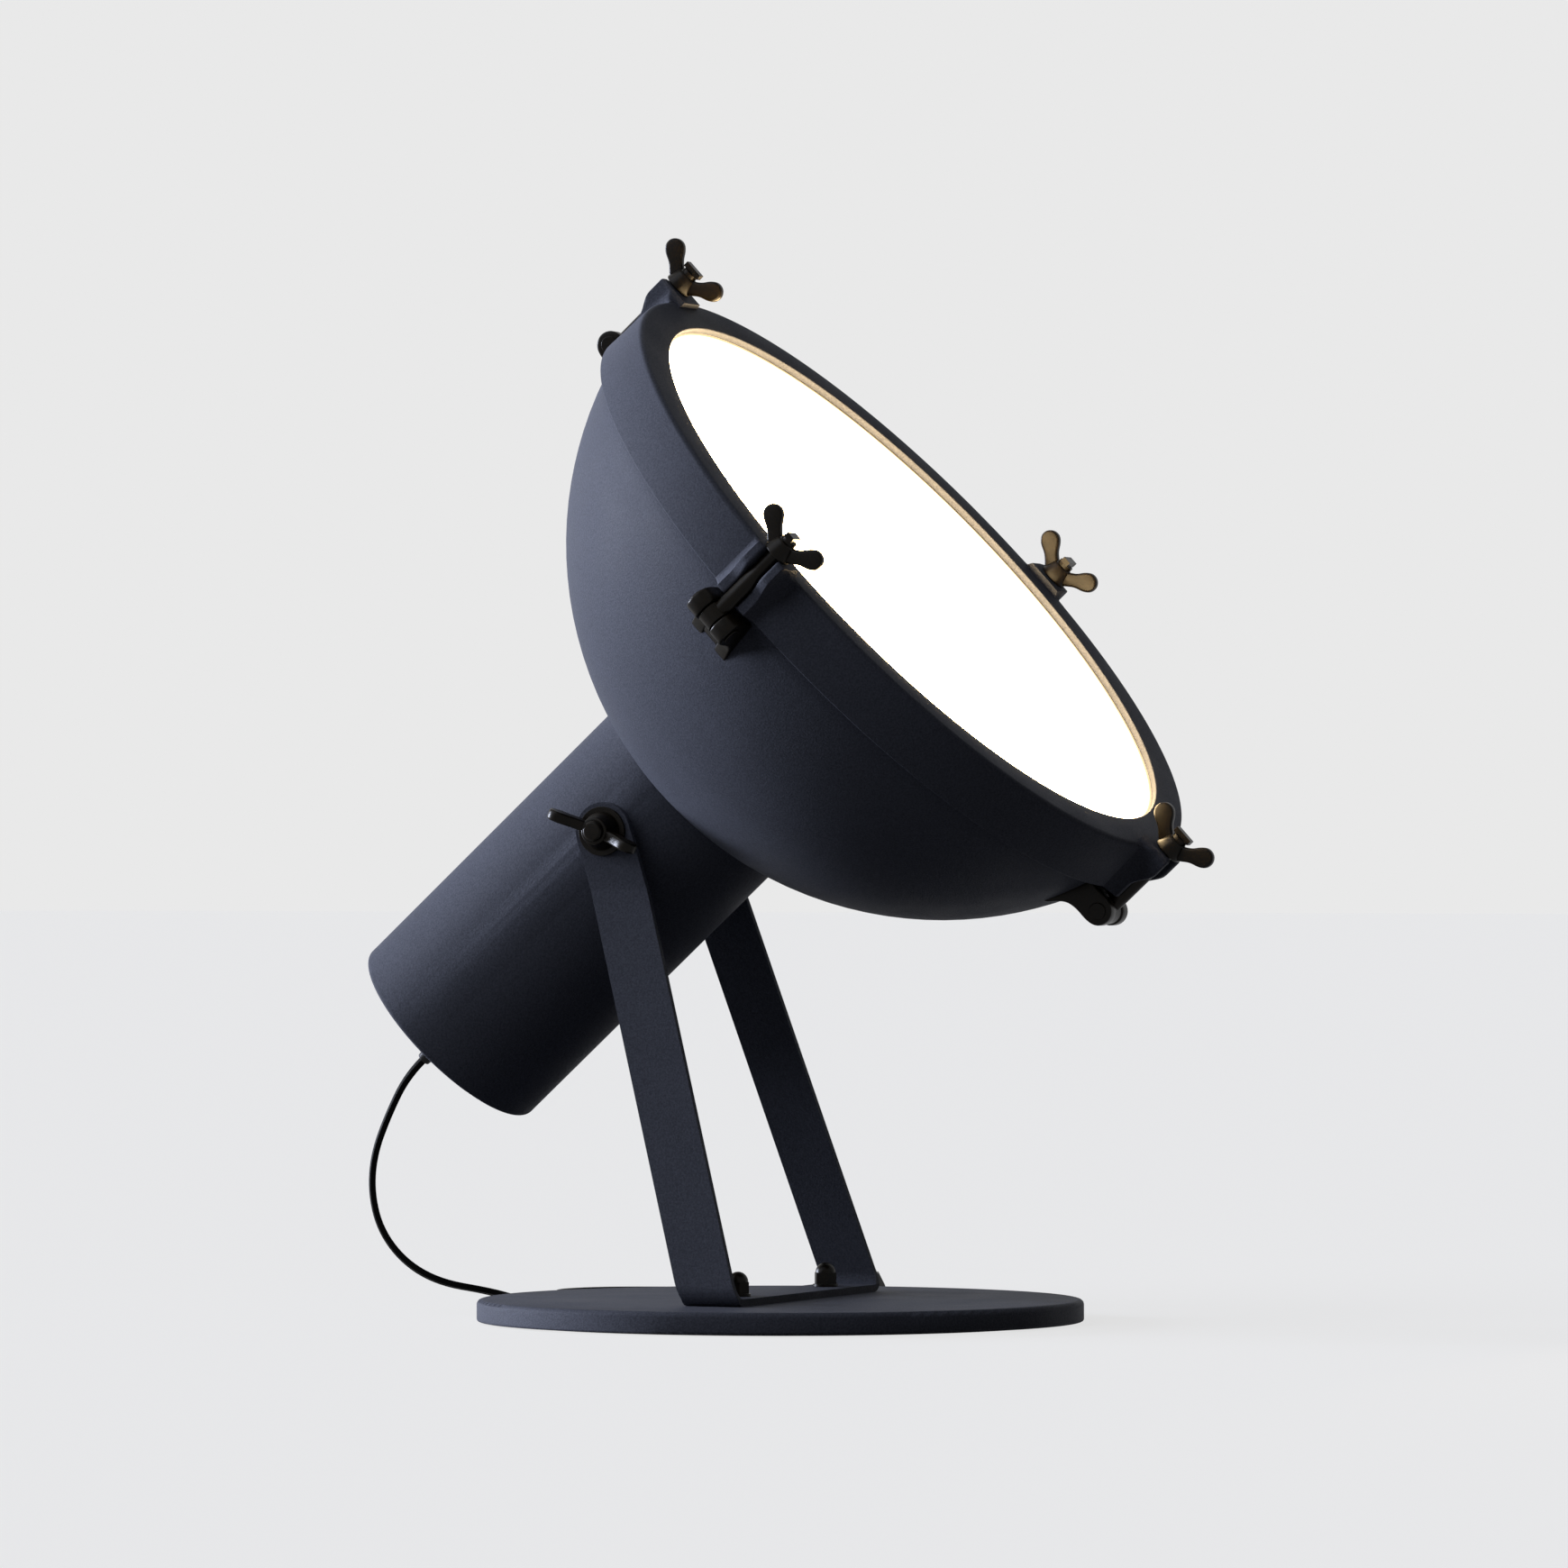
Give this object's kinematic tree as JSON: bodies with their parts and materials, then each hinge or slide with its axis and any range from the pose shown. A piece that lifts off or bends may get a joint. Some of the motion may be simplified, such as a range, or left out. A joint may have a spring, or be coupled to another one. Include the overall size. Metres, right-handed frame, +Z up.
{
  "type": "tabletop searchlight lamp",
  "caption": "Tabletop searchlight: a round spun bowl with a clamped glass ring on a drawn tube, tilting in a bent strap yoke on a round base.",
  "frame": {"origin": "centre of the round base's underside, at the face of its felt pad", "axes": "+Z up, +X the way the head leans forward, +Y along the tilt axis"},
  "size_m": [0.4464, 0.4739, 0.5334],
  "materials": {
    "base_coat": "satin powder coat, anthracite",
    "yoke_coat": "satin powder coat, anthracite",
    "head_coat": "satin powder coat on spun and drawn aluminium, anthracite",
    "ring_coat": "satin powder coat on cast aluminium, anthracite",
    "black_steel": "blackened steel",
    "wing_nut_black": "gloss black",
    "zinc_steel": "zinc plated steel",
    "felt": "felt",
    "fibre": "pressed fibre",
    "frosted_glass": "sandblasted on the inside, lit from behind",
    "opal_glass": "opal",
    "gasket_rubber": "moulded rubber",
    "flex_black": "matte flexible sheath",
    "black_plastic": "moulded, fine grain",
    "white_plastic": "moulded",
    "porcelain": "glazed porcelain",
    "bright_aluminium": "polished and anodised",
    "nickel_pins": "nickel plated brass"
  },
  "bodies": {
    "root": {"base_plate": "base_coat", "base_pad": "felt", "yoke_strap": "yoke_coat", "base_bolts": "zinc_steel", "base_washers": "black_steel", "base_cap_nuts": "black_steel", "cord_drop": "flex_black", "cord_coil": "flex_black", "cord_tail": "flex_black", "cord_lead": "flex_black", "switch_base": "black_plastic", "switch_cover": "black_plastic", "switch_screws": "zinc_steel", "plug_body": "black_plastic", "plug_pins": "nickel_pins"},
    "head": {"housing_tube": "head_coat", "rear_cap": "head_coat", "rear_cap_screws": "black_steel", "cord_gland": "black_plastic", "gland_nut": "black_plastic", "holder_bracket": "zinc_steel", "lampholder": "porcelain", "bulb": "opal_glass", "terminal_block": "white_plastic", "bowl_ring_nut": "bright_aluminium", "bowl": "head_coat", "reflector": "bright_aluminium", "front_ring": "ring_coat", "ring_gasket": "gasket_rubber", "front_glass": "frosted_glass", "pivot_studs": "black_steel", "fibre_washers": "fibre", "pivot_washers": "black_steel", "clamp_lug_top": "ring_coat", "clamp_lug_near": "ring_coat", "clamp_lug_bottom": "ring_coat", "clamp_lug_far": "ring_coat", "lug_pin_top": "black_steel", "lug_pin_near": "black_steel", "lug_pin_bottom": "black_steel", "lug_pin_far": "black_steel"},
    "bolt_top": {"swing_bolt_top": "black_steel"},
    "nut_top": {"clamp_nut_top": "wing_nut_black"},
    "bolt_near": {"swing_bolt_near": "black_steel"},
    "nut_near": {"clamp_nut_near": "wing_nut_black"},
    "bolt_bottom": {"swing_bolt_bottom": "black_steel"},
    "nut_bottom": {"clamp_nut_bottom": "wing_nut_black"},
    "bolt_far": {"swing_bolt_far": "black_steel"},
    "nut_far": {"clamp_nut_far": "wing_nut_black"},
    "pivot_nut_near": {"pivot_nut_near": "wing_nut_black"},
    "pivot_nut_far": {"pivot_nut_far": "wing_nut_black"},
    "rocker": {"switch_rocker": "black_plastic"}
  },
  "joints": [
    {"name": "head_tilt", "type": "hinge", "parent": "root", "child": "head", "pos_m": [-0.0678, 0, 0.2408], "axis": [0, -1, 0], "range_deg": [-45, 47.5], "deforming": ["cord_drop"]},
    {"name": "bolt_top_swing", "type": "hinge", "parent": "head", "child": "bolt_top", "pos_m": [-0.08577, 0, 0.48096], "axis": [0, -1, 0], "range_deg": [0, 110]},
    {"name": "nut_top_turn", "type": "hinge", "parent": "bolt_top", "child": "nut_top", "pos_m": [-0.05436, 0, 0.50974], "axis": [0.7373, 0, 0.6756], "continuous": true},
    {"name": "bolt_near_swing", "type": "hinge", "parent": "head", "child": "bolt_near", "pos_m": [0.04205, -0.1892, 0.34146], "axis": [0.6756, 0, -0.7373], "range_deg": [0, 110]},
    {"name": "nut_near_turn", "type": "hinge", "parent": "bolt_near", "child": "nut_near", "pos_m": [0.07346, -0.1892, 0.37024], "axis": [0.7373, 0, 0.6756], "continuous": true},
    {"name": "bolt_bottom_swing", "type": "hinge", "parent": "head", "child": "bolt_bottom", "pos_m": [0.16988, 0, 0.20197], "axis": [0, 1, 0], "range_deg": [0, 110]},
    {"name": "nut_bottom_turn", "type": "hinge", "parent": "bolt_bottom", "child": "nut_bottom", "pos_m": [0.20128, 0, 0.23075], "axis": [0.7373, 0, 0.6756], "continuous": true},
    {"name": "bolt_far_swing", "type": "hinge", "parent": "head", "child": "bolt_far", "pos_m": [0.04205, 0.1892, 0.34146], "axis": [-0.6756, 0, 0.7373], "range_deg": [0, 110]},
    {"name": "nut_far_turn", "type": "hinge", "parent": "bolt_far", "child": "nut_far", "pos_m": [0.07346, 0.1892, 0.37024], "axis": [0.7373, 0, 0.6756], "continuous": true},
    {"name": "pivot_nut_near_turn", "type": "hinge", "parent": "head", "child": "pivot_nut_near", "pos_m": [-0.0678, -0.0658, 0.2408], "axis": [0, -1, 0], "continuous": true},
    {"name": "pivot_nut_far_turn", "type": "hinge", "parent": "head", "child": "pivot_nut_far", "pos_m": [-0.0678, 0.0658, 0.2408], "axis": [0, 1, 0], "continuous": true},
    {"name": "switch_rocker_tip", "type": "hinge", "parent": "root", "child": "rocker", "pos_m": [-0.1267, 0.21002, 0.0118], "axis": [-0.929, -0.37, 0], "range_deg": [0, 14]}
  ]
}
